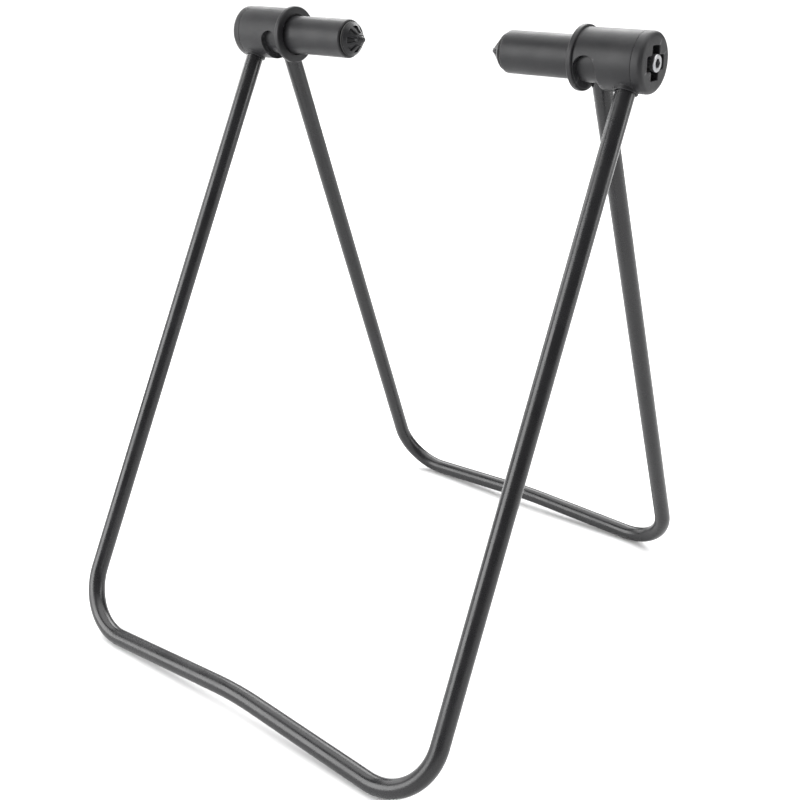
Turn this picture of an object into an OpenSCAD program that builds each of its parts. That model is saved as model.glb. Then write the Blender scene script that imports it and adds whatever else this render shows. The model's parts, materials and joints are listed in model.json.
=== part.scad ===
// Folding bike repair stand: two bent tube frames, a wide one and a narrow one
// that nests inside it, hinged together by a pair of moulded knuckles. The wheel
// stands between the legs and its hub rests between the two pointed noses.
//
// Millimetres. X runs along the hinge, the wide frame leans towards -Y, Z is up.
// The origin lies on the floor, under the middle of the open stand.

/* [Tubes] */
// Outside diameter of the steel tube
tube_d = 12; // [11:0.1:12]
// Wall thickness of the tube
tube_wall = 1.2; // [0.8:0.1:2]
// How far each tube runs past the hinge axis, inside its knuckle
tube_past_axis = 9; // [7:0.5:9]
// Height of the hinge axis above the floor when the stand is open
hinge_h = 402; // [370:1:430]

/* [Front frame] */
// Half the distance between the front legs at the hinge
front_half_w = 149.6; // [149:0.1:149.6]
// Angle by which each front leg splays outwards, in degrees
front_splay = 1; // [0.5:0.1:1.5]
// Angle between the open front frame and the vertical, in degrees
front_lean = 27.7; // [25:0.1:30]
// Bend radius of the front corners
front_bend_r = 38.6; // [30:0.1:45]
// Rise of the front bar from its corners to its middle, in degrees of slope
front_crown = 3.55; // [2:0.05:5]

/* [Rear frame] */
// Half the distance between the rear legs at the hinge
rear_half_w = 126.6; // [126.6:0.1:127]
// Angle by which each rear leg splays outwards, in degrees
rear_splay = 0.9; // [0.5:0.1:1]
// Angle between the open rear frame and the vertical, in degrees
rear_lean = 20.5; // [18:0.1:23]
// Bend radius of the rear corners
rear_bend_r = 36; // [30:0.1:45]
// Rise of the rear bar from its corners to its middle, in degrees of slope
rear_crown = 3.15; // [2:0.05:5]
// Radius of the gentle bend in the middle of both bars
crown_r = 307; // [200:1:350]

/* [Knuckle housing] */
// Outside diameter of the housing
housing_d = 35; // [34.6:0.1:36]
// Inner end of the housing, measured along the hinge from the middle
housing_start = 115.6; // [115:0.1:115.6]
// Outer end of the housing, where the end cap sits
housing_end = 156.2; // [156:0.1:157]
// Diameter of the rim round the inner end
rim_d = 38; // [37:0.1:39]
// Width of that rim
rim_w = 3.5; // [2.5:0.1:3.5]
// Diameter of the collar that grips the front leg
collar_d = 14.6; // [14:0.1:16]
// How far the collar stands out from the hinge axis
collar_reach = 18.6; // [18.2:0.1:20]
// Width of the slot that the rear leg swings in
slot_w = 14.4; // [13.6:0.1:14.4]
// Gap left between the rear leg and the end of its slot when the stand is open
slot_gap = 0.3; // [0.2:0.1:0.5]
// Angle through which the rear frame can fold, in degrees
fold_travel = 100; // [60:1:110]

/* [Barrel] */
// Diameter of the part of the barrel that turns inside the housing
journal_d = 27.4; // [27:0.1:27.6]
// Radial clearance between the journal and the housing
running_gap = 0.05; // [0.03:0.01:0.1]
// Diameter of the sleeve that reaches inwards from the housing
sleeve_d = 25.4; // [24:0.1:26]
// Inner end of the sleeve, measured along the hinge from the middle
sleeve_start = 65; // [64:0.5:68]
// Thickness of the thrust washer at the outer end of the barrel
thrust_t = 1; // [0.8:0.1:1.5]

/* [Nose] */
// Diameter of the base of the nose cone
nose_d = 21.8; // [21.4:0.1:22.2]
// Width of the groove that holds the rubber ring
ring_groove_w = 2; // [1.8:0.1:2.4]
// Length of the cone, from its base to the flat that carries the point
cone_len = 7.9; // [7.7:0.1:8.2]
// Length of the point that stands on the cone
point_len = 2.3; // [2:0.1:4]
// Number of ribs round the cone
rib_count = 8; // [4:1:12]
// Diameter of the plug that fixes the nose in the sleeve
plug_d = 19; // [17:0.1:20]
// Length of that plug
plug_len = 10; // [9:0.5:14]

/* [End cap] */
// Thickness of the end cap
cap_t = 6.8; // [6:0.1:8]
// Radius of the rounded edge of the end cap
cap_round = 3; // [1.5:0.1:3.5]
// Span of the cross-shaped recess
recess_span = 19.6; // [18:0.1:22]
// Width of each arm of the recess
recess_arm = 8.4; // [7:0.1:9]

/* [Bolt] */
// Thread diameter of the pivot bolt
bolt_d = 6; // [5:0.1:6]
// Length of the bolt under its head
bolt_len = 90; // [88:1:91]
// Diameter of the bolt head
head_d = 10; // [9:0.1:11]
// Height of the bolt head
head_h = 6; // [5:0.1:6]
// Width across the flats of the socket in the head
socket_af = 5; // [4:0.5:5]
// Width across the flats of the nut
nut_af = 10; // [9:0.1:10]
// Thickness of the nut
nut_t = 5; // [4:0.1:5.5]

/* [Hidden] */

$fn = 96;
RIGHT = 1;
LEFT = -1;

tube_r = tube_d / 2;
through = 60;           // long enough to cut right through a knuckle
fit_gap = 0.05;         // radial clearance of a part pressed or slid into another
bend_swell = 0.02;      // how much wider the tube is where it has been bent
bend_lap = 0.6;         // how far each straight length runs on into the bend
slot_relief = 0.03;     // how far the round ends of the slot are cut past its sides

// Distance down each frame from the hinge axis to the lowest point of its bar
foot_h = hinge_h - tube_r - bend_swell;
front_reach = foot_h / cos(front_lean);
rear_reach = foot_h / cos(rear_lean);
// The hinge sits this far from the middle of the open stand
hinge_y = (front_reach * sin(front_lean) - rear_reach * sin(rear_lean)) / 2;

front_angle = -front_lean;
rear_angle = rear_lean;

// The slot lets the leg swing from its open angle through the fold travel. Its
// rounded ends are wider than the leg, so they are set back by that difference.
slot_setback = asin((slot_w / 2 - tube_r - slot_gap) / (housing_d / 2));
slot_open_end = rear_angle - slot_setback;
slot_folded_end = rear_angle - fold_travel + slot_setback;

bore_floor = housing_start + 20.6;
barrel_end = bore_floor - thrust_t - running_gap;
journal_start = housing_start + 1.4;
cap_floor = housing_end + 1;
cap_end = housing_end + cap_t;
washer_t = 1.2;
washer_d = 12;
head_start = cap_floor + washer_t + running_gap;
bolt_bore_r = bolt_d / 2 + 0.08;
nose_base = sleeve_start - ring_groove_w;
cone_tip = nose_base - cone_len;
cone_edge = 0.3;        // straight edge left at the base of the cone
cone_tip_r = nose_d / 2 - cone_len + cone_edge; // the cone leans at 45 degrees
point_d = 5.4;
pocket_inner_r = 3.9;
pocket_outer_r = 8.6;
pocket_depth = 2;       // measured along the hinge, from the cone's surface
ring_section_r = ring_groove_w / 2 - fit_gap;
plug_end = sleeve_start + plug_len;
nut_start = plug_end - nut_t;
peg_spread = 11;
peg_r = 1.5;
peg_len = 4;

// ---- Helpers ----

// Stands the children on the hinge axis of the open stand
module at_hinge() translate([0, hinge_y, hinge_h]) children();

// Puts a knuckle part on its side of the stand
module on_side(side) {
    at_hinge()
        if (side == RIGHT) children();
        else mirror([1, 0, 0]) children();
}

// A cylinder along the hinge, between two distances from the middle
module along(from, to, r) {
    translate([from, 0, 0])
        rotate([0, 90, 0]) cylinder(h = to - from, r = r);
}

// A turned shape round the hinge: the outline is drawn as radius against distance
module turned(arc = 360, start = 0) {
    rotate([0, 90, 0]) rotate([0, 0, start]) rotate_extrude(angle = arc) children();
}

// Outline of a disc whose edge is rounded at its far end, and at both if asked
module disc_outline(from, to, r, round, both = false) {
    low = both ? from + round : from;
    translate([0, from]) square([r - round, to - from]);
    translate([0, low]) square([r, to - round - low]);
    translate([r - round, to - round]) circle(r = round);
    if (both) translate([r - round, from + round]) circle(r = round);
}

// A round bar down one leg, between two distances from the hinge axis
module down_leg(angle, half_w, splay, from, to, r) {
    rotate([angle, 0, 0]) translate([half_w, 0, 0]) rotate([0, -splay, 0])
        translate([0, 0, -to]) cylinder(h = to - from, r = r);
}

// ---- Tube frames ----

// A bend of a round bar in the plane of its frame, swept between two angles
module bend(centre, bend_r, from, to, r) {
    translate([centre.x, 0, centre.y]) rotate([90, 0, 0]) rotate([0, 0, from])
        rotate_extrude(angle = to - from) translate([bend_r, 0]) circle(r = r + bend_swell);
}

// A straight round bar between two points of the frame's plane, run on at each end
module straight(from, to, r, lap_from, lap_to) {
    run = to - from;
    translate([from.x, 0, from.y]) rotate([0, atan2(run.x, run.y), 0])
        translate([0, 0, -lap_from]) cylinder(h = norm(run) + lap_from + lap_to, r = r);
}

// A bar bent into a U that hangs from the hinge in the XZ plane. The bend centre
// lies one bend radius above the lowest point and one inside the splayed leg.
module bent_bar(half_w, splay, reach, bend_r, crown, r, past_top = 0) {
    bend_z = -(reach - bend_r);
    bend_x = half_w + (-bend_z * sin(splay) - bend_r) / cos(splay);
    bend_at = [bend_x, bend_z];
    leg_top = [half_w - tube_past_axis * tan(splay), tube_past_axis];
    leg_end = bend_at + bend_r * [cos(splay), sin(splay)];
    bar_end = bend_at - bend_r * [sin(crown), cos(crown)];
    crown_x = crown_r * sin(crown);
    crown_z = bar_end.y + (bar_end.x - crown_x) * tan(crown);
    for (side = [0, 1]) mirror([side, 0, 0]) {
        straight(leg_top, leg_end, r, past_top, bend_lap);
        bend(bend_at, bend_r, -90 - crown, splay, r);
        straight(bar_end, [crown_x, crown_z], r, bend_lap, bend_lap);
    }
    bend([0, crown_z - crown_r * cos(crown)], crown_r, 90 - crown, 90 + crown, r);
}

// The same bar made hollow, with its ends drilled for the pivot bolts
module tube_frame(half_w, splay, reach, bend_r, crown) {
    difference() {
        bent_bar(half_w, splay, reach, bend_r, crown, tube_r);
        bent_bar(half_w, splay, reach, bend_r, crown, tube_r - tube_wall, 1);
        along(-half_w - through / 2, half_w + through / 2, bolt_d / 2 + 0.3);
    }
}

module front_frame() {
    color("#17171a") at_hinge() rotate([front_angle, 0, 0])
        tube_frame(front_half_w, front_splay, front_reach, front_bend_r, front_crown);
}

module rear_frame() {
    color("#17171a") at_hinge() rotate([rear_angle, 0, 0])
        tube_frame(rear_half_w, rear_splay, rear_reach, rear_bend_r, rear_crown);
}

// ---- Knuckles ----

// Slot that runs part of the way round the housing, with rounded ends
module leg_slot() {
    bore_r = journal_d / 2;
    side_w = slot_w - 2 * slot_relief;
    turned(slot_open_end - slot_folded_end, slot_folded_end)
        translate([bore_r - 2, rear_half_w - side_w / 2]) square([rim_d / 2 - bore_r + 4, side_w]);
    for (angle = [slot_open_end, slot_folded_end])
        down_leg(angle, rear_half_w, 0, bore_r - 2, rim_d / 2 + 4, slot_w / 2);
}

module housing(side) {
    color("#2b2c2f") on_side(side) difference() {
        union() {
            along(housing_start + 1, housing_end, housing_d / 2);
            turned() disc_outline(housing_start, housing_start + rim_w, rim_d / 2, 0.9, true);
            intersection() {
                down_leg(front_angle, front_half_w, front_splay, 0, collar_reach, collar_d / 2);
                along(housing_start, housing_end, rim_d);
            }
        }
        along(housing_start - 1, bore_floor, journal_d / 2 + running_gap);
        along(bore_floor - 1, housing_end + 1, bolt_bore_r);
        down_leg(front_angle, front_half_w, front_splay,
            -tube_past_axis - fit_gap, through, tube_r + fit_gap);
        leg_slot();
        cap_pegs(peg_r + fit_gap, peg_len + 0.4);
    }
}

// Two pegs beside the front leg that locate the end cap on the housing
module cap_pegs(r, len) {
    rotate([front_angle, 0, 0])
        for (y = [-peg_spread, peg_spread])
            translate([0, y, 0]) along(housing_end - len, housing_end + 1, r);
}

module end_cap(side) {
    color("#2b2c2f") on_side(side) difference() {
        union() {
            turned() disc_outline(housing_end, cap_end, housing_d / 2, cap_round);
            cap_pegs(peg_r, peg_len);
        }
        along(housing_end - 1, cap_end, bolt_bore_r);
        along(cap_floor, cap_end + 1, washer_d / 2 + 0.2);
        for (turn = [0, 90]) rotate([turn, 0, 0])
            translate([cap_floor, -recess_span / 2, -recess_arm / 2])
                cube([cap_t, recess_span, recess_arm]);
    }
}

module barrel(side) {
    color("#2b2c2f") on_side(side) difference() {
        union() {
            mirror([1, 0, 0]) turned()
                disc_outline(-journal_start - 1, -sleeve_start, sleeve_d / 2, 1.2);
            along(journal_start, barrel_end, journal_d / 2);
        }
        along(sleeve_start - 1, plug_end, plug_d / 2 + fit_gap);
        along(plug_end - 1, barrel_end + 1, bolt_bore_r);
        down_leg(rear_angle, rear_half_w, rear_splay,
            -tube_past_axis - fit_gap, through, tube_r + fit_gap);
    }
}

// Radial pockets that leave the ribs standing round the cone
module rib_pockets() {
    pocket_arc = 0.6 * 360 / rib_count;
    floor_start = cone_tip - cone_tip_r + pocket_depth;
    for (i = [0 : rib_count - 1])
        turned(pocket_arc, (i + 0.5) * 360 / rib_count - pocket_arc / 2)
            polygon([
                [pocket_inner_r, cone_tip - 1], [pocket_outer_r, cone_tip - 1],
                [pocket_outer_r, floor_start + pocket_outer_r],
                [pocket_inner_r, floor_start + pocket_inner_r]
            ]);
}

module nose_cone(side) {
    point_tip = cone_tip - point_len;
    color("#222326") on_side(side) difference() {
        union() {
            turned() polygon([
                [0, point_tip], [point_d / 2 - 2, point_tip],
                [point_d / 2 - 1.2, point_tip + 0.6], [point_d / 2, cone_tip],
                [cone_tip_r, cone_tip], [nose_d / 2, nose_base - cone_edge],
                [nose_d / 2, nose_base], [0, nose_base]
            ]);
            along(nose_base - 1, plug_end, plug_d / 2);
        }
        rib_pockets();
        along(nut_start - 4, plug_end + 1, bolt_d / 2 + 0.3);
        translate([nut_start, 0, 0]) rotate([0, 90, 0])
            cylinder(h = nut_t + 1, d = (nut_af + 0.1) / cos(30), $fn = 6);
    }
}

module nose_ring(side) {
    color("#101010") on_side(side) turned()
        translate([plug_d / 2 + fit_gap + ring_section_r, nose_base + ring_groove_w / 2])
            circle(r = ring_section_r);
}

module pivot_bolt(side) {
    color("#c9ccd1") on_side(side) difference() {
        union() {
            along(head_start - bolt_len, head_start, bolt_d / 2);
            turned() disc_outline(head_start, head_start + head_h, head_d / 2, 0.6);
        }
        translate([head_start + 3, 0, 0]) rotate([0, 90, 0])
            cylinder(h = head_h, d = socket_af / cos(30), $fn = 6);
    }
}

module ring_washer(side, from, thickness, outer_r, inner_r) {
    on_side(side) difference() {
        along(from, from + thickness, outer_r);
        along(from - 1, from + thickness + 1, inner_r);
    }
}

module head_washer(side) {
    color("#aeb2b8") ring_washer(side, cap_floor, washer_t, washer_d / 2, bolt_d / 2 + 0.2);
}

module thrust_washer(side) {
    color("#e8e6de")
        ring_washer(side, bore_floor - thrust_t, thrust_t, journal_d / 2 - 0.7, bolt_d / 2 + 0.3);
}

module nose_nut(side) {
    color("#b9bcc2") on_side(side) difference() {
        translate([nut_start, 0, 0]) rotate([0, 90, 0])
            cylinder(h = nut_t, d = nut_af / cos(30), $fn = 6);
        along(nut_start - 1, plug_end + 1, bolt_d / 2 + fit_gap);
    }
}

front_frame();
rear_frame();
housing(LEFT);  // housing_left
housing(RIGHT);  // housing_right
barrel(LEFT);  // barrel_left
barrel(RIGHT);  // barrel_right
nose_cone(LEFT);  // nose_cone_left
nose_cone(RIGHT);  // nose_cone_right
nose_ring(LEFT);  // nose_ring_left
nose_ring(RIGHT);  // nose_ring_right
end_cap(LEFT);  // end_cap_left
end_cap(RIGHT);  // end_cap_right
pivot_bolt(LEFT);  // pivot_bolt_left
pivot_bolt(RIGHT);  // pivot_bolt_right
head_washer(LEFT);  // head_washer_left
head_washer(RIGHT);  // head_washer_right
thrust_washer(LEFT);  // thrust_washer_left
thrust_washer(RIGHT);  // thrust_washer_right
nose_nut(LEFT);  // nose_nut_left
nose_nut(RIGHT);  // nose_nut_right
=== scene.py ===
# %% [markdown]
# # A folding bike repair stand
# The stand is two bent steel tubes, a wide frame and a narrow frame that nests
# inside it, hinged together by a pair of moulded knuckles. The wheel stands
# between the legs and its hub rests between two pointed noses.
#
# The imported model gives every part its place. This lesson makes the parts as the
# eye meets them: rounded edges, moulded ribs, a knurled screw head, and finishes
# built from nodes. Sizes are in millimetres and turn into metres at the last step.

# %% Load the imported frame
import json
import math

import bmesh
import bpy
from mathutils import Euler, Matrix, Quaternion, Vector


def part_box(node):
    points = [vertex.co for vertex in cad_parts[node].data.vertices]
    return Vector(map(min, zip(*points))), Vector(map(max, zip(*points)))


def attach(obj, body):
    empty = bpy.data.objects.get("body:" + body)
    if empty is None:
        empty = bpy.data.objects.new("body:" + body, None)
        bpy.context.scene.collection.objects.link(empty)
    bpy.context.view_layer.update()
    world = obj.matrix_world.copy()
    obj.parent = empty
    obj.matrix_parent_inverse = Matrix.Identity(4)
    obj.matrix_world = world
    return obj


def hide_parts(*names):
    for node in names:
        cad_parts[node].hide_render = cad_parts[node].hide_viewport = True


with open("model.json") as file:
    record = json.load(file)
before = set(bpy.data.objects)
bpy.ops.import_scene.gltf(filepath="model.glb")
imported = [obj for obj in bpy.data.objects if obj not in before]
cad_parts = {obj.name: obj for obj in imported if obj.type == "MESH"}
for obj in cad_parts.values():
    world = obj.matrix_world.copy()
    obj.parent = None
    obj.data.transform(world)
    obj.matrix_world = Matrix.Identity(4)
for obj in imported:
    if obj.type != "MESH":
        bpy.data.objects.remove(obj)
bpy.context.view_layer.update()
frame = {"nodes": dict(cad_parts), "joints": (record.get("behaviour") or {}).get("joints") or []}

# %% [markdown]
# ## Where things are
# Everything in the knuckles is round about the hinge, so a place is given by how
# far it lies along the hinge, its radius, and an angle. The angle is measured from
# straight down and grows towards the back. The hinge comes from the joint itself,
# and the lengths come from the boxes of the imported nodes.

# %% Measure the stand
MM = 0.001
hinge = Vector(frame["joints"][0]["pos_m"]) / MM


def span(node):
    """Inner and outer end of a right-hand node along the hinge, in millimetres."""
    low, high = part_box(node)
    return low.x / MM, high.x / MM


def about_hinge(along, radius, angle):
    """A point given by its place along the hinge, its radius and its angle."""
    turn = math.radians(angle)
    return Vector((along, hinge.y + radius * math.sin(turn), hinge.z - radius * math.cos(turn)))


shell_start, shell_end = span("housing_right")
cap_end = span("end_cap_right")[1]
barrel_start, barrel_end = span("barrel_right")
nose_tip, plug_end = span("nose_cone_right")
bolt_tip, bolt_top = span("pivot_bolt_right")
nut_start = span("nose_nut_right")[0]
washer_end = span("head_washer_right")[1]
print("hinge at", [round(v, 2) for v in hinge], "shell", round(shell_start, 2), round(shell_end, 2))

# %% [markdown]
# ## Turning, lofting and cutting
# A turned part starts as an outline of corners, each with the radius that rounds
# it, and is spun about the hinge. It could be a plain cylinder with a bevel, but an
# outline gives each edge its own radius, as a mould does. A loft joins loops of
# points and makes the pockets and sockets. Cutting one solid out of another uses the
# exact Boolean, whose result is copied into the mesh so no modifier stays behind.

# %% Round the corners of an outline
def rounded(corners, steps=6):
    """Replaces each corner (x, y, radius) of a closed outline with an arc."""
    points = []
    for i, (x, y, *radius) in enumerate(corners):
        here = Vector((x, y))
        if not radius:
            points.append(here)
            continue
        back = (Vector(corners[i - 1][:2]) - here).normalized()
        on = (Vector(corners[(i + 1) % len(corners)][:2]) - here).normalized()
        half = back.angle(on) / 2
        centre = here + (back + on).normalized() * radius[0] / math.sin(half)
        first = here + back * radius[0] / math.tan(half) - centre
        sweep = first.angle_signed(here + on * radius[0] / math.tan(half) - centre)
        points += [centre + Matrix.Rotation(-sweep * k / steps, 2) @ first for k in range(steps + 1)]
    return points


print("a rounded square has", len(rounded([(0, 0, 1), (9, 0, 1), (9, 9, 1), (0, 9, 1)])), "points")


# %% Keep a mesh, and join its loops
def keep(name, bm):
    """Turns a bmesh in millimetres into a closed object in metres."""
    bmesh.ops.recalc_face_normals(bm, faces=bm.faces)
    mesh = bpy.data.meshes.new(name)
    bm.to_mesh(mesh)
    bm.free()
    mesh.transform(Matrix.Scale(MM, 4))
    piece = bpy.data.objects.new(name, mesh)
    bpy.context.scene.collection.objects.link(piece)
    return piece


def join_loops(bm, first, second):
    """Faces between two loops of corners; a loop of one corner is a pole."""
    count = max(len(first), len(second))
    for k in range(count):
        corners = []
        for loop, at in ((first, k), (first, k + 1), (second, k + 1), (second, k)):
            if loop[at % len(loop)] not in corners:
                corners.append(loop[at % len(loop)])
        if len(corners) > 2:
            bm.faces.new(corners)


# %% Turn an outline about the hinge
def finer(points, step):
    """Splits the long sides of an outline so that the mesh stays even."""
    result = []
    for a, b in zip(points, points[1:] + points[:1]):
        parts = max(1, math.ceil((b - a).length / step))
        result += [a.lerp(b, k / parts) for k in range(parts)]
    return result


def turned(name, corners, spokes=144, step=3, shape=None):
    """Spins an outline of (along, radius) about the hinge; shape may push points."""
    bm = bmesh.new()
    loops = []
    for along, radius in finer(rounded(corners), step):
        if radius < 1e-4:
            loops.append([bm.verts.new(about_hinge(along, 0, 0))])
            continue
        loop = []
        for k in range(spokes):
            angle = 360 * k / spokes
            place = shape(along, radius, angle) if shape else (along, radius)
            loop.append(bm.verts.new(about_hinge(*place, angle)))
        loops.append(loop)
    for first, second in zip(loops, loops[1:] + loops[:1]):
        join_loops(bm, first, second)
    return keep(name, bm)


# %% Loft a solid through loops
def lofted(name, loops, curved_ends=False):
    """A solid through loops of points; curved ends are closed by strips."""
    bm = bmesh.new()
    rows = [[bm.verts.new(p) for p in loop] for loop in loops]
    for first, second in zip(rows, rows[1:]):
        join_loops(bm, first, second)
    for row in (rows[0], rows[-1]):
        n = len(row)
        if not curved_ends:
            bm.faces.new(row)
            continue
        for k in range(n // 2):
            strip = [row[k], row[k + 1], row[n - k - 1], row[-k]]
            bm.faces.new(list(dict.fromkeys(strip)))
    return keep(name, bm)


def rod(name, start, end, radius, sides=48):
    """A straight round cutter between two points."""
    start, end = Vector(start), Vector(end)
    turn = (end - start).to_track_quat("Z", "Y")
    ring = [turn @ Vector((radius * math.cos(a), radius * math.sin(a), 0))
            for a in (math.tau * k / sides for k in range(sides))]
    return lofted(name, [[at + p for p in ring] for at in (start, end)])


# %% Cut and join solids
def combine(piece, others, operation="DIFFERENCE"):
    """Cuts solids out of a piece, or unites them with it, and drops them."""
    for other in others:
        modifier = piece.modifiers.new("combine", "BOOLEAN")
        modifier.operation, modifier.solver, modifier.object = operation, "EXACT", other
    view = bpy.context.evaluated_depsgraph_get()
    mesh = bpy.data.meshes.new_from_object(piece.evaluated_get(view))
    piece.modifiers.clear()
    piece.data = mesh
    for other in others:
        bpy.data.objects.remove(other)
    bm = bmesh.new()
    bm.from_mesh(mesh)
    bmesh.ops.remove_doubles(bm, verts=bm.verts, dist=1e-6)
    bmesh.ops.dissolve_degenerate(bm, edges=bm.edges, dist=1e-6)
    bm.to_mesh(mesh)
    bm.free()
    return piece


def twin_of(piece, name):
    """The left-hand twin of a right-hand piece."""
    mesh = piece.data.copy()
    mesh.transform(Matrix.Scale(-1, 4, (1, 0, 0)))
    mesh.flip_normals()
    twin = bpy.data.objects.new(name, mesh)
    bpy.context.scene.collection.objects.link(twin)
    return twin


def leg_place(half_w, splay, lean):
    """Matrix of a right leg: its own -Z runs down the leg from the hinge."""
    return (Matrix.Translation(hinge) @ Matrix.Rotation(math.radians(lean), 4, "X")
            @ Matrix.Translation((half_w, 0, 0)) @ Matrix.Rotation(math.radians(-splay), 4, "Y"))


FRONT = {"half_w": 149.6, "splay": 1.0, "lean": -27.7}
REAR = {"half_w": 126.6, "splay": 0.9, "lean": 20.5}
print("front leg points along", [round(v, 3) for v in leg_place(**FRONT).to_3x3() @ Vector((0, 0, -1))])

# %% [markdown]
# ## Effects the finishes share
# Paint, plastic, rubber and metal differ in their numbers more than in kind: each
# has a fine grain, slow drifts of tone, dust on what faces up, and edges that hands
# and floors have rubbed. Each effect is a node group, so it is built once and every
# finish sets its own amounts. The groups only put out masks and values.

# %% Node helpers
def add(tree, kind, values=None, **settings):
    """Adds a shader node, with its settings and its socket values or links."""
    made = tree.nodes.new("ShaderNode" + kind)
    for key, value in settings.items():
        setattr(made, key, value)
    for socket, value in (values or {}).items():
        if isinstance(value, bpy.types.NodeSocket):
            tree.links.new(value, made.inputs[socket])
        else:
            made.inputs[socket].default_value = value
    return made


def maths(tree, operation, a, b=0.5, **settings):
    return add(tree, "Math", {0: a, 1: b}, operation=operation, **settings).outputs[0]


def ramp(tree, value, low, high, to_low=0.0, to_high=1.0):
    """Maps a value smoothly from one range to another."""
    return add(tree, "MapRange", {"Value": value, "From Min": low, "From Max": high, "To Min": to_low,
                                  "To Max": to_high}, interpolation_type="SMOOTHSTEP").outputs["Result"]


def noise(tree, place, scale, detail=3.0, roughness=0.5):
    return add(tree, "TexNoise", {"Vector": place, "Scale": scale, "Detail": detail,
                                  "Roughness": roughness}).outputs["Fac"]


def new_group(name, inputs, outputs):
    """An empty effect: its tree, its input sockets, and the node that takes its results."""
    tree = bpy.data.node_groups.new(name, "ShaderNodeTree")
    for label, value in inputs.items():
        tree.interface.new_socket(label, in_out="INPUT", socket_type="NodeSocketFloat").default_value = value
    for label in outputs:
        tree.interface.new_socket(label, in_out="OUTPUT", socket_type="NodeSocketFloat")
    return tree, tree.nodes.new("NodeGroupInput").outputs, tree.nodes.new("NodeGroupOutput")


# %% Fine grain
def make_fine_grain():
    tree, given, out = new_group(
        "Fine grain", {"Scale": 900.0, "Smooth": 0.3, "Rough": 0.4}, ["Roughness", "Height"])
    place = add(tree, "TexCoord").outputs["Object"]
    grain = noise(tree, place, given["Scale"], 4.0, 0.6)
    patches = noise(tree, place, 55.0, 3.0)
    mixed = maths(tree, "ADD", maths(tree, "MULTIPLY", grain, 0.4), maths(tree, "MULTIPLY", patches, 0.6))
    tree.links.new(ramp(tree, mixed, 0.32, 0.68, given["Smooth"], given["Rough"]), out.inputs["Roughness"])
    tree.links.new(grain, out.inputs["Height"])
    return tree


fine_grain = make_fine_grain()


# %% Worn edges
def make_worn_edges():
    tree, given, out = new_group("Worn edges", {"Sharpness": 0.56, "Amount": 0.5}, ["Mask"])
    place = add(tree, "TexCoord").outputs["Object"]
    bend = add(tree, "NewGeometry").outputs["Pointiness"]
    start = maths(tree, "SUBTRACT", given["Sharpness"], 0.03)
    edge = ramp(tree, bend, start, maths(tree, "ADD", given["Sharpness"], 0.05))
    broken = ramp(tree, noise(tree, place, 420.0, 5.0, 0.7), 0.38, 0.62)
    mask = maths(tree, "MULTIPLY", maths(tree, "MULTIPLY", edge, broken), given["Amount"], use_clamp=True)
    tree.links.new(mask, out.inputs["Mask"])
    return tree


worn_edges = make_worn_edges()


# %% Dust on what faces up
def make_settled_dust():
    tree, given, out = new_group("Settled dust", {"Amount": 0.2}, ["Mask"])
    where = add(tree, "TexCoord").outputs
    up = add(tree, "SeparateXYZ", {0: where["Normal"]}).outputs["Z"]
    flat = ramp(tree, up, 0.1, 1.0)
    clouds = ramp(tree, noise(tree, where["Object"], 38.0, 5.0, 0.6), 0.3, 0.75)
    specks = ramp(tree, noise(tree, where["Object"], 1500.0, 2.0), 0.66, 0.74)
    both = maths(tree, "ADD", maths(tree, "MULTIPLY", clouds, 0.6), maths(tree, "MULTIPLY", specks, 0.5))
    mask = maths(tree, "MULTIPLY", maths(tree, "MULTIPLY", flat, both), given["Amount"], use_clamp=True)
    tree.links.new(mask, out.inputs["Mask"])
    return tree


settled_dust = make_settled_dust()


# %% Marks left by turning
def make_turned_marks():
    tree, given, out = new_group("Turned marks", {"Spacing": 0.12}, ["Height"])
    place = add(tree, "TexCoord").outputs["Object"]
    axis = (0, hinge.y * MM, hinge.z * MM)
    off_axis = add(tree, "VectorMath", {0: place, 1: axis}, operation="SUBTRACT").outputs[0]
    radial = add(tree, "VectorMath", {0: off_axis, 1: (0, 1, 1)}, operation="MULTIPLY").outputs[0]
    radius = add(tree, "VectorMath", {0: radial}, operation="LENGTH").outputs["Value"]
    wander = maths(tree, "MULTIPLY", noise(tree, place, 300.0, 2.0), 0.00008)
    spacing = maths(tree, "MULTIPLY", given["Spacing"], MM)
    cycles = maths(tree, "DIVIDE", maths(tree, "ADD", radius, wander), spacing)
    rings = maths(tree, "SINE", maths(tree, "MULTIPLY", cycles, math.tau))
    tree.links.new(maths(tree, "MULTIPLY_ADD", rings, 0.5), out.inputs["Height"])
    return tree


turned_marks = make_turned_marks()
print("effects:", [g.name for g in (fine_grain, worn_edges, settled_dust, turned_marks)])


# %% [markdown]
# ## The finishes
# A finish is one Principled shader whose colour, roughness and bump come from the
# effects above. Numbers that are the same all over, such as the specular level, sit
# on the shader itself, because that is where an export looks for them.

# %% Start a finish
def place_effect(tree, effect, **values):
    used = add(tree, "Group", node_tree=effect)
    for label, value in values.items():
        used.inputs[label].default_value = value
    return used.outputs


def blend_colour(tree, factor, first, second):
    """Mixes two colours, each a plain colour or a link."""
    mixed = add(tree, "Mix", {0: factor, 6: first, 7: second}, data_type="RGBA")
    return mixed.outputs[2]


def drift(tree, dark, light, scale=30.0):
    """A colour that wanders slowly between two tones."""
    place = add(tree, "TexCoord").outputs["Object"]
    return blend_colour(tree, ramp(tree, noise(tree, place, scale, 4.0), 0.3, 0.7), dark, light)


def finish_of(name, colour, roughness, bumps, **fixed):
    """Closes a finish: bumps is a list of (height, strength, distance in mm)."""
    material, tree, shader = name
    normal = None
    for height, strength, distance in bumps:
        values = {"Height": height, "Strength": strength, "Distance": distance * MM}
        if normal:
            values["Normal"] = normal
        normal = add(tree, "Bump", values).outputs[0]
    for socket, value in {"Base Color": colour, "Roughness": roughness, "Normal": normal, **fixed}.items():
        if isinstance(value, bpy.types.NodeSocket):
            tree.links.new(value, shader.inputs[socket])
        else:
            shader.inputs[socket].default_value = value
    return material


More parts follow.
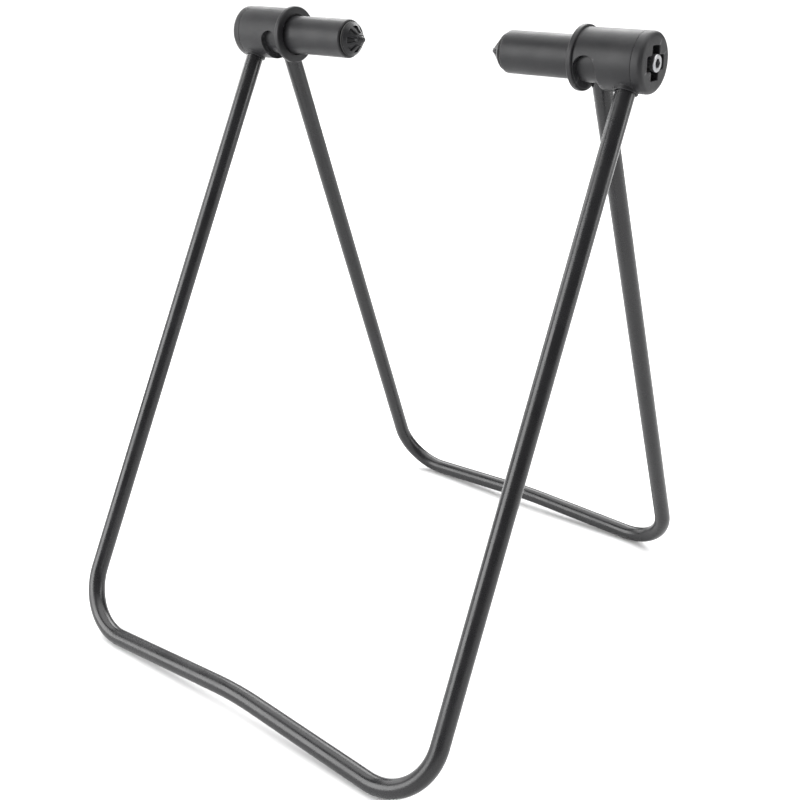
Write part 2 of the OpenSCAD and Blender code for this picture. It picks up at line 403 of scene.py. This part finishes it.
def start_finish(name):
    material = bpy.data.materials.new(name)
    material.use_nodes = True
    return material, material.node_tree, material.node_tree.nodes["Principled BSDF"]


# %% [markdown]
# ### Black paint on the tubes
# The tubes are sprayed and baked: a deep black that is smooth but not a mirror, with
# the faint orange peel of sprayed paint. Where a corner stands on the floor the
# paint is scuffed down to grey. A mask that fades with height puts the scuffs there,
# so they need no painting by hand.

# %% Tube paint
def make_tube_paint():
    start = start_finish("tube_paint_black")
    tree = start[1]
    grain = place_effect(tree, fine_grain, Scale=1100.0, Smooth=0.2, Rough=0.34)
    dust = place_effect(tree, settled_dust, Amount=0.06)["Mask"]
    place = add(tree, "TexCoord").outputs["Object"]
    height = add(tree, "SeparateXYZ", {0: place}).outputs["Z"]
    low = ramp(tree, height, 0.006, 0.0)
    scratch = ramp(tree, noise(tree, place, 700.0, 6.0, 0.75), 0.5, 0.6)
    scuff = maths(tree, "MULTIPLY", low, scratch, use_clamp=True)
    black = drift(tree, (0.0055, 0.0055, 0.0062, 1), (0.0085, 0.0085, 0.0095, 1))
    colour = blend_colour(tree, dust, black, (0.16, 0.155, 0.15, 1))
    colour = blend_colour(tree, scuff, colour, (0.2, 0.2, 0.2, 1))
    rough = maths(tree, "MULTIPLY_ADD", scuff, 0.3)
    tree.links.new(grain["Roughness"], rough.node.inputs[2])
    peel = noise(tree, place, 420.0, 2.0)
    return finish_of(start, colour, rough, [(peel, 0.10, 0.05), (scuff, 0.3, 0.04)],
                     **{"Specular IOR Level": 0.36})


tube_paint = make_tube_paint()

# %% [markdown]
# ### Moulded plastic
# The knuckles are moulded in a charcoal-black plastic with a fine spark-eroded
# grain, which is what keeps their highlights broad. Two tones of the same recipe
# serve the shells and the noses, so it is one function with its values as inputs.


# %% Plastics
def make_plastic(name, dark, light, smooth, rough, wear):
    start = start_finish(name)
    tree = start[1]
    grain = place_effect(tree, fine_grain, Scale=1700.0, Smooth=smooth, Rough=rough)
    rubbed = place_effect(tree, worn_edges, Sharpness=0.545, Amount=wear)["Mask"]
    dust = place_effect(tree, settled_dust, Amount=0.08)["Mask"]
    colour = blend_colour(tree, dust, drift(tree, dark, light, 60.0), (0.2, 0.195, 0.19, 1))
    colour = blend_colour(tree, rubbed, colour, (0.12, 0.12, 0.125, 1))
    place = add(tree, "TexCoord").outputs["Object"]
    pits = add(tree, "TexVoronoi", {"Vector": place, "Scale": 2600.0}).outputs["Distance"]
    return finish_of(start, colour, grain["Roughness"], [(pits, 0.12, 0.04), (grain["Height"], 0.16, 0.04)],
                     **{"Specular IOR Level": 0.24})


knuckle_plastic = make_plastic(
    "knuckle_plastic", (0.0085, 0.0085, 0.0095, 1), (0.0125, 0.0125, 0.0135, 1), 0.4, 0.52, 0.5)
nose_plastic = make_plastic(
    "nose_plastic", (0.008, 0.008, 0.009, 1), (0.0115, 0.0115, 0.0125, 1), 0.34, 0.46, 0.8)

# %% [markdown]
# ### Rubber, zinc and nylon
# The ring is matt rubber. The screws, washers and nuts are zinc plated: grey, a
# little cloudy, with rings left by the lathe. The thrust washers are plain white
# nylon, and hide inside the knuckles.


# %% Small-part finishes
def make_ring_rubber():
    start = start_finish("ring_rubber_black")
    tree = start[1]
    grain = place_effect(tree, fine_grain, Scale=1300.0, Smooth=0.62, Rough=0.8)
    dust = place_effect(tree, settled_dust, Amount=0.3)["Mask"]
    black = drift(tree, (0.007, 0.007, 0.007, 1), (0.012, 0.012, 0.012, 1))
    colour = blend_colour(tree, dust, black, (0.12, 0.12, 0.115, 1))
    return finish_of(start, colour, grain["Roughness"], [(grain["Height"], 0.3, 0.05)],
                     **{"Specular IOR Level": 0.3})


def make_zinc():
    start = start_finish("zinc_plate_bright")
    tree = start[1]
    grain = place_effect(tree, fine_grain, Scale=800.0, Smooth=0.3, Rough=0.5)
    marks = place_effect(tree, turned_marks, Spacing=0.16)["Height"]
    rubbed = place_effect(tree, worn_edges, Sharpness=0.56, Amount=0.7)["Mask"]
    colour = drift(tree, (0.27, 0.275, 0.29, 1), (0.34, 0.34, 0.345, 1), 160.0)
    colour = blend_colour(tree, rubbed, colour, (0.5, 0.5, 0.5, 1))
    return finish_of(start, colour, grain["Roughness"],
                     [(marks, 0.12, 0.02), (grain["Height"], 0.08, 0.02)], Metallic=1.0)


def make_nylon():
    start = start_finish("nylon_white")
    tree = start[1]
    grain = place_effect(tree, fine_grain, Scale=900.0, Smooth=0.35, Rough=0.5)
    marks = place_effect(tree, turned_marks, Spacing=0.3)["Height"]
    colour = drift(tree, (0.68, 0.67, 0.62, 1), (0.8, 0.79, 0.75, 1), 90.0)
    return finish_of(start, colour, grain["Roughness"], [(marks, 0.1, 0.03)], **{"Subsurface Weight": 0.0})


ring_rubber, zinc, nylon = make_ring_rubber(), make_zinc(), make_nylon()
print("finishes:", [m.name for m in bpy.data.materials if m.use_nodes and "_" in m.name])


# %% Give a piece its finish, body and node
def settle(piece, material, body, node, smooth_to=38):
    """Smooths a piece, gives it its finish, and lets it stand for its CAD node."""
    piece.data.shade_smooth()
    piece.data.set_sharp_from_angle(angle=math.radians(smooth_to))
    piece.data.materials.clear()
    piece.data.materials.append(material)
    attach(piece, body)
    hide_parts(node)
    print(f"{piece.name}: {len(piece.data.polygons)} faces for {node}")


def settle_pair(piece, stem, node_stem, material, body):
    """Settles a right-hand piece and its left-hand twin."""
    settle(twin_of(piece, stem + "_left"), material, body, node_stem + "_left")
    settle(piece, material, body, node_stem + "_right")


# %% [markdown]
# ## The tube frames
# Each frame is one tube bent on a former: straight legs, a corner of steady radius,
# and a bar with a gentle crown in the middle that lifts it off the floor. A curve
# with a bevel could draw it, but sweeping rings along the exact line keeps every
# bend a true arc and leaves a hollow tube with open ends.

# %% The line of a bent tube
TUBE_R = 5.99
BORE_R = 4.8
PAST_HINGE = 9
CROWN_R = 307


def bent_line(half_w, splay, lean, bend_r, crown):
    """Centre line from the left leg's top to the right leg's, hanging in the XZ plane."""
    splay, crown = math.radians(splay), math.radians(crown)
    reach = (hinge.z - 6.02) / math.cos(math.radians(lean))
    bend_z = bend_r - reach
    bend_x = half_w + (-bend_z * math.sin(splay) - bend_r) / math.cos(splay)
    crown_x = CROWN_R * math.sin(crown)
    bar_x = bend_x - bend_r * math.sin(crown)
    crown_z = bend_z - bend_r * math.cos(crown) + (bar_x - crown_x) * math.tan(crown)
    line = []
    for k in range(9):
        a = crown * k / 8
        line.append((CROWN_R * math.sin(a), crown_z + CROWN_R * (math.cos(a) - math.cos(crown))))
    for k in range(33):
        a = -math.pi / 2 - crown + (math.pi / 2 + crown + splay) * k / 32
        line.append((bend_x + bend_r * math.cos(a), bend_z + bend_r * math.sin(a)))
    line.append((half_w - PAST_HINGE * math.tan(splay), PAST_HINGE))
    half = [Vector(p) for p in line]
    even = [p for p in finer(half, 12) if p != half[-1]]
    last_run = math.ceil((half[-1] - half[-2]).length / 12)
    even = even[:even.index(half[-2]) + 1] + finer(half[-2:], 12)[:last_run]
    even.append(half[-1])
    return [Vector((-x, z)) for x, z in reversed(even[1:])] + even


def place_line(line, lean):
    """Tilts a line to its frame's lean and hangs it from the hinge."""
    tilt = Matrix.Rotation(math.radians(lean), 3, "X")
    return [hinge + tilt @ Vector((x, 0, z)) for x, z in line], tilt @ Vector((0, 1, 0))


print("points on the front line:", len(bent_line(**FRONT, bend_r=38.6, crown=3.55)))


# %% Sweep the tubes
def swept_tube(name, line, side, around=56):
    """A hollow tube along a line that lies in the plane across side."""
    bm = bmesh.new()
    skins = []
    for radius in (TUBE_R, BORE_R):
        rings = []
        for i, at in enumerate(line):
            ahead = (line[min(i + 1, len(line) - 1)] - line[max(i - 1, 0)]).normalized()
            across = side.cross(ahead)
            rings.append([bm.verts.new(at + radius * (side * math.cos(a) + across * math.sin(a)))
                          for a in (math.tau * k / around for k in range(around))])
        skins.append(rings)
    outer, inner = skins
    for rings in skins:
        for first, second in zip(rings, rings[1:]):
            join_loops(bm, first, second)
    for end in (0, -1):
        join_loops(bm, outer[end], inner[end])
    return keep(name, bm)


for name, node, body, sizes in (
        ("wide_tube_frame", "front_frame", "front", {**FRONT, "bend_r": 38.6, "crown": 3.55}),
        ("narrow_tube_frame", "rear_frame", "rear", {**REAR, "bend_r": 36.0, "crown": 3.15})):
    line, side = place_line(bent_line(**sizes), sizes["lean"])
    tube = swept_tube(name, line, side)
    reach = sizes["half_w"] + 30
    drill = rod("drill", about_hinge(-reach, 0, 0), about_hinge(reach, 0, 0), 3.3, 32)
    settle(combine(tube, [drill]), tube_paint, body, node)

# %% [markdown]
# ## The knuckle shells
# A shell is a moulded barrel with a rim round its inner end, a collar that grips the
# front leg, and a slot that lets the rear leg swing. The slot could be cut square
# and bevelled, but a Boolean edge bevels badly on a curved wall. Here the cutter
# itself flares where it leaves the wall, like a rounding-over bit, so the edge comes
# out rounded in one cut. The collar flares the other way, into a fillet.

# %% Flared cutters
SHELL_R = 17.5
RIM_R = 18.98
BORE = 13.75
JOURNAL_R = 13.7
SCREW_HOLE = 3.08
SOCKET_R = 6.05


def flare(surface, edge, inner, outer, steps=5):
    """(distance, extra width) of a cutter that rounds the edge it leaves at a surface."""
    arc = [math.pi / 2 * k / steps for k in range(steps + 1)]
    return ([(inner, 0)] + [(surface - edge + edge * math.sin(a), edge - edge * math.cos(a)) for a in arc]
            + [(outer, edge)])


def on_leg(leg, radius, wall, sides=96):
    """Loop where a round bar along a leg meets a round wall about the hinge."""
    place, splay = leg_place(**leg), math.radians(leg["splay"])
    loop = []
    for k in range(sides):
        a = math.tau * k / sides
        x, y = radius * math.sin(a), radius * math.cos(a)
        z = -(math.sqrt(wall ** 2 - y ** 2) + x * math.sin(splay)) / math.cos(splay)
        loop.append(place @ Vector((x, y, z)))
    return loop


def across_leg(leg, radius, depth, sides=96):
    """Flat loop across a leg, a distance down from the hinge."""
    place = leg_place(**leg)
    return [place @ Vector((radius * math.sin(a), radius * math.cos(a), -depth))
            for a in (math.tau * k / sides for k in range(sides))]


# %% The slot that the rear leg swings in
SLOT_HALF = 7.2
SLOT_FROM, SLOT_TO = -76.55, 17.55


def slot_loop(wall, extra):
    """Outline of the slot on a round wall, with ends as round as the leg needs."""
    half = SLOT_HALF + extra
    rows = []
    for k in range(13):
        a = math.pi / 2 * k / 12
        rows.append((SLOT_FROM - math.degrees(math.asin(half * math.cos(a) / wall)), half * math.sin(a)))
    rows += [(SLOT_FROM + (SLOT_TO - SLOT_FROM) * k / 32, half) for k in range(1, 32)]
    for k in range(13):
        a = math.pi / 2 * (1 - k / 12)
        rows.append((SLOT_TO + math.degrees(math.asin(half * math.cos(a) / wall)), half * math.sin(a)))
    middle = REAR["half_w"]
    one_side = [about_hinge(middle - w, wall, angle) for angle, w in rows]
    other = [about_hinge(middle + w, wall, angle) for angle, w in rows[1:-1]]
    return one_side + other[::-1]


slot_cutter = lofted("slot_cutter", [slot_loop(wall, extra) for wall, extra in flare(SHELL_R, 0.45, 11, 24)],
                     curved_ends=True)
print("slot cutter faces:", len(slot_cutter.data.polygons))

# %% The collar that grips the front leg
COLLAR_R = 7.3
COLLAR_REACH = 18.6
FILLET = 0.5


def make_collar():
    """A round collar that flares into the shell and has a rounded foot."""
    loops = [on_leg(FRONT, COLLAR_R + FILLET, 14.5), on_leg(FRONT, COLLAR_R + FILLET, SHELL_R - 0.35)]
    for k in range(1, 9):
        a = math.radians(70) * k / 8 + math.radians(20)
        out = COLLAR_R + FILLET - FILLET * math.sin(a)
        loops.append(on_leg(FRONT, out, SHELL_R + FILLET - FILLET * math.cos(a) - 0.12))
    foot = 0.4
    for k in range(6):
        a = math.pi / 2 * k / 5
        loops.append(across_leg(FRONT, COLLAR_R - foot + foot * math.cos(a),
                                COLLAR_REACH - foot + foot * math.sin(a)))
    collar = lofted("collar", loops, curved_ends=True)
    beyond = [Vector((shell_end - 0.05, hinge.y + y, hinge.z + z))
              for y, z in ((-60, -60), (60, -60), (60, 60), (-60, 60))]
    saw = lofted("saw", [beyond, [p + Vector((20, 0, 0)) for p in beyond]])
    return combine(collar, [saw])


collar = make_collar()

# %% The shell itself
PEG_SPREAD = 11.0


def peg_rods(radius, start, end):
    """Two pegs beside the front leg, between two places along the hinge."""
    lean = FRONT["lean"]
    return [rod("peg", about_hinge(start, PEG_SPREAD, lean + turn),
                about_hinge(end, PEG_SPREAD, lean + turn), radius, 32)
            for turn in (-90, 90)]


def make_shell():
    floor = shell_start + 20.6
    shell = turned("knuckle_shell_right", [
        (shell_start, BORE, 0.3), (shell_start, RIM_R, 0.9), (shell_start + 3.5, RIM_R, 0.9),
        (shell_start + 3.5, SHELL_R, 0.2), (shell_end, SHELL_R, 0.3), (shell_end, SCREW_HOLE, 0.2),
        (floor, SCREW_HOLE, 0.2), (floor, BORE, 0.5)], spokes=192, step=1.6)
    combine(shell, [collar], "UNION")
    socket = [across_leg(FRONT, SOCKET_R, -9.05)] + [
        across_leg(FRONT, SOCKET_R + extra, depth) for depth, extra in flare(COLLAR_REACH, 0.4, 0, 22)]
    cutters = [slot_cutter, lofted("socket", socket)] + peg_rods(1.55, shell_end - 4.4, shell_end + 1)
    return combine(shell, cutters)


settle_pair(make_shell(), "knuckle_shell", "housing", knuckle_plastic, "front")

# %% [markdown]
# ## The end caps
# The cap closes the outer end of a shell. Its edge is well rounded, and a
# cross-shaped recess round the screw head saves plastic and lets the washer seat.
# The cross is drawn as twelve corners with their own radii, so making it wider by
# the flare keeps every arc concentric.

# %% Make the end caps
def cross_loop(along, grow):
    """Outline of the cross-shaped recess, grown by a distance."""
    arm, tip = 4.2 + grow, 9.8 + grow
    quarter = [(arm, tip, 0.9 + grow), (arm, arm, 1.2 - grow), (tip, arm, 0.9 + grow)]
    corners = []
    for turn in range(4):
        for y, z, radius in quarter:
            for _ in range(turn):
                y, z = z, -y
            corners.append((y, z, radius))
    return [Vector((along, hinge.y + p.x, hinge.z + p.y)) for p in rounded(corners, 5)]


def make_cap():
    cap = turned("shell_cap_right", [
        (shell_end, SCREW_HOLE, 0.1), (shell_end, SHELL_R, 0.3), (cap_end, SHELL_R, 3.0),
        (cap_end, SCREW_HOLE, 0.1)], spokes=192, step=2)
    floor = shell_end + 1
    recess = lofted("recess", [cross_loop(at, grow) for at, grow in flare(cap_end, 0.6, floor, cap_end + 1)])
    combine(cap, [recess])
    return combine(cap, peg_rods(1.5, shell_end - 4, shell_end + 0.5), "UNION")


settle_pair(make_cap(), "shell_cap", "end_cap", knuckle_plastic, "front")

# %% [markdown]
# ## The barrels
# The barrel is the part that turns. Its fat end, the journal, fills the shell's bore
# and holds the rear leg; its thin end is the sleeve that reaches towards the wheel.

# %% Make the barrels
SLEEVE_R = 12.7


def make_barrel():
    step_at = shell_start + 1.4
    barrel = turned("turning_barrel_right", [
        (barrel_start, 9.55, 0.25), (barrel_start, SLEEVE_R, 1.2), (step_at, SLEEVE_R, 0.5),
        (step_at, JOURNAL_R, 0.3), (barrel_end, JOURNAL_R, 0.5), (barrel_end, SCREW_HOLE, 0.1),
        (plug_end, SCREW_HOLE, 0.1), (plug_end, 9.55, 0.2)], spokes=160, step=2.4)
    socket = [across_leg(REAR, SOCKET_R, -9.05), across_leg(REAR, SOCKET_R, 0)]
    socket += [on_leg(REAR, SOCKET_R + extra, wall) for wall, extra in flare(JOURNAL_R, 0.5, 10, 16)]
    return combine(barrel, [lofted("socket", socket, curved_ends=True)])


settle_pair(make_barrel(), "turning_barrel", "barrel", knuckle_plastic, "rear")

# %% [markdown]
# ## The noses
# A nose ends each sleeve: a long 45 degree cone with eight ribs that bite on the
# skewer's end, and a small blunt point that finds its centre. The pockets between the ribs are pressed into
# the outline as it turns, because the mesh then follows the pockets' own sides.

# %% Make the noses
RIBS = 8


def soft_step(value, low, high):
    t = min(max((value - low) / (high - low), 0), 1)
    return t * t * (3 - 2 * t)


GROOVE_W = 2.0
CONE_LEN = 7.9
CONE_R = 10.9
CONE_TIP_R = 3.3
POINT_R = 2.7
PLUG_R = 9.5
nose_base = barrel_start - GROOVE_W
cone_top = nose_base - CONE_LEN
POCKET_DEPTH = 2.0


def press_pockets(along, radius, angle):
    """Sinks a point of the cone's face where it lies in a pocket between two ribs."""
    if along > nose_base - 1.0 or not 3.6 < radius < 8.9:
        return along, radius
    off = abs((angle + 180 / RIBS) % (360 / RIBS) - 180 / RIBS)
    to_side = math.radians(13.5 - abs(off)) * radius
    within = soft_step(to_side, -0.22, 0.22) * soft_step(radius, 3.7, 4.1) * soft_step(8.8 - radius, 0, 0.4)
    return along + within * POCKET_DEPTH, radius


def make_nose():
    outline = [(nose_tip, 0), (nose_tip, 1.4, 0.7), (cone_top, POINT_R, 0.2),
               (cone_top, CONE_TIP_R, 0.15),
               (nose_base - 0.3, CONE_R, 0.12), (nose_base, CONE_R, 0.12),
               (nose_base, PLUG_R, 0.2),
               (plug_end, PLUG_R, 0.4), (plug_end, 3.3, 0.1), (nut_start - 4, 3.3), (nut_start - 4, 0)]
    nose = turned("ribbed_nose_right", outline, spokes=RIBS * 36, step=0.3, shape=press_pockets)
    key = [Vector((nut_start, *(hinge + Vector((0, math.cos(a), math.sin(a))) * 10.1 / math.sqrt(3)).yz))
           for a in (math.tau * k / 6 for k in range(6))]
    return combine(nose, [lofted("nut_pocket", [key, [p + Vector((9, 0, 0)) for p in key]])])


settle_pair(make_nose(), "ribbed_nose", "nose_cone", nose_plastic, "rear")

# %% [markdown]
# ## The rubber rings
# A ring sits in the groove behind each cone. It is a turned circle, with the thin
# line that a mould leaves round a ring.

# %% Make the rings
RING_R = 10.5
RING_SECTION = 0.93
MOULD_LINE = 0.04


def make_ring():
    circle = []
    for k in range(28):
        a = math.tau * k / 28
        out = RING_SECTION + (MOULD_LINE if k == 0 else 0)
        circle.append((nose_base + GROOVE_W / 2 + RING_SECTION * math.sin(a), RING_R + out * math.cos(a)))
    return turned("grip_ring_right", circle, spokes=128, step=9)


settle_pair(make_ring(), "grip_ring", "nose_ring", ring_rubber, "rear")

# %% [markdown]
# ## The pivot screws
# A socket head screw runs through each knuckle. Its head shows in the cap's recess,
# so it gets what a real one has: a knurled side, rounded rims, and a hexagonal
# socket with a chamfer that leads the key in.

# %% Make the pivot screws
HEAD_R = 5.0


def knurl(along, radius, angle):
    """Fine grooves along the side of the screw head."""
    if radius < HEAD_R - 0.01 or not washer_end + 0.6 < along < bolt_top - 0.9:
        return along, radius
    return along, radius - 0.14 * abs(math.sin(math.radians(angle * 18)))


def hexagon(along, across_flats):
    """Loop of a hexagon across the hinge."""
    corner = across_flats / math.sqrt(3)
    return [about_hinge(along, corner, 60 * k + 30) for k in range(6)]


def make_screw():
    head = washer_end + 0.05
    screw = turned("pivot_screw_right", [
        (bolt_top, 0), (bolt_top, HEAD_R, 0.6), (head, HEAD_R, 0.2), (head, 3.0, 0.1),
        (bolt_tip, 3.0, 0.6), (bolt_tip, 0)], spokes=180, step=0.8, shape=knurl)
    mouth = bolt_top - 3
    socket = lofted("hex_socket", [hexagon(mouth, 5.0), hexagon(bolt_top + 0.5, 5.0)])
    ring = [[about_hinge(at, radius, 360 * k / 60) for k in range(60)]
            for at, radius in ((bolt_top - 0.45, 2.35), (bolt_top + 0.5, 3.3))]
    return combine(screw, [socket, lofted("chamfer", ring)])


settle_pair(make_screw(), "pivot_screw", "pivot_bolt", zinc, "rear")

# %% [markdown]
# ## Parts kept as they are
# The washers and nuts are already right as turned solids, and hide in the knuckles.
# They keep their own meshes and only get their finishes.

# %% Finish the kept parts
for stem, material in (("head_washer", zinc), ("thrust_washer", nylon), ("nose_nut", zinc)):
    for side in ("left", "right"):
        node = frame["nodes"][f"{stem}_{side}"]
        node.data.materials.clear()
        node.data.materials.append(material)
        print(node.name, "->", material.name)

# %% [markdown]
# ## Floor, light and camera
# A wide pale floor, one broad soft light above, and weaker ones to the sides draw
# the long soft streaks that a dark tube needs to look round. The floor is large
# enough to fill the view, so it is also the background.

# %% The floor
def make_floor():
    bm = bmesh.new()
    bmesh.ops.create_grid(bm, x_segments=24, y_segments=24, size=14)
    mesh = bpy.data.meshes.new("studio_floor")
    bm.to_mesh(mesh)
    bm.free()
    floor = bpy.data.objects.new("studio_floor", mesh)
    bpy.context.scene.collection.objects.link(floor)
    start = start_finish("floor_paper")
    tree = start[1]
    grain = place_effect(tree, fine_grain, Scale=60.0, Smooth=0.85, Rough=0.95)
    colour = drift(tree, (0.7, 0.7, 0.7, 1), (0.73, 0.73, 0.73, 1), 2.0)
    floor.data.materials.append(finish_of(start, colour, grain["Roughness"], [(grain["Height"], 0.02, 0.05)],
                                          **{"Specular IOR Level": 0.0}))
    return floor


floor = make_floor()


# %% The lights
def soft_light(name, place, aim, width, height, watts):
    """A rectangular light aimed at a point."""
    lamp = bpy.data.lights.new(name, "AREA")
    lamp.shape, lamp.size, lamp.size_y, lamp.energy = "RECTANGLE", width, height, watts
    light = bpy.data.objects.new(name, lamp)
    bpy.context.scene.collection.objects.link(light)
    light.location = place
    light.rotation_euler = (Vector(aim) - Vector(place)).to_track_quat("-Z", "Y").to_euler()
    light.visible_camera = False


def broad_sky(name, watts, spread, tilt):
    """A sun as wide as a ceiling of cloth: it lights the whole floor evenly."""
    lamp = bpy.data.lights.new(name, "SUN")
    lamp.energy, lamp.angle = watts, math.radians(spread)
    light = bpy.data.objects.new(name, lamp)
    bpy.context.scene.collection.objects.link(light)
    light.rotation_euler = (math.radians(tilt), 0, 0)


world = bpy.data.worlds.new("studio")
bpy.context.scene.world = world
world.use_nodes = True
world.node_tree.nodes["Background"].inputs["Color"].default_value = (1, 1, 1, 1)
world.node_tree.nodes["Background"].inputs["Strength"].default_value = 0.32
broad_sky("ceiling_cloth", 4.6, 78, -14)
soft_light("back_panel", (-0.9, 1.7, 1.5), (0, 0, 0.3), 2.0, 1.0, 45)
soft_light("left_panel", (-1.9, 0.1, 0.85), (0, 0, 0.25), 1.6, 1.2, 24)
soft_light("front_left_panel", (-1.0, -1.65, 0.85), (0, 0, 0.25), 1.4, 1.5, 58)
soft_light("right_panel", (1.6, 0.9, 0.8), (0, 0, 0.25), 0.6, 1.4, 16)

# %% The camera
camera = bpy.data.objects.new("camera", bpy.data.cameras.new("camera"))
bpy.context.scene.collection.objects.link(camera)
camera.location = (0.4614, -0.5685, 0.4832)
aim = Euler((math.radians(90 - 23.72), 0, math.radians(39.08))).to_quaternion()
camera.rotation_mode = "QUATERNION"
camera.rotation_quaternion = aim @ Quaternion((0, 0, 1), math.radians(-0.538))
camera.data.lens = 50.38
camera.data.sensor_width = 36
camera.data.clip_start = 0.01
bpy.context.scene.camera = camera
bpy.context.scene.view_settings.view_transform = "Standard"
print("camera at", [round(v, 3) for v in camera.location])
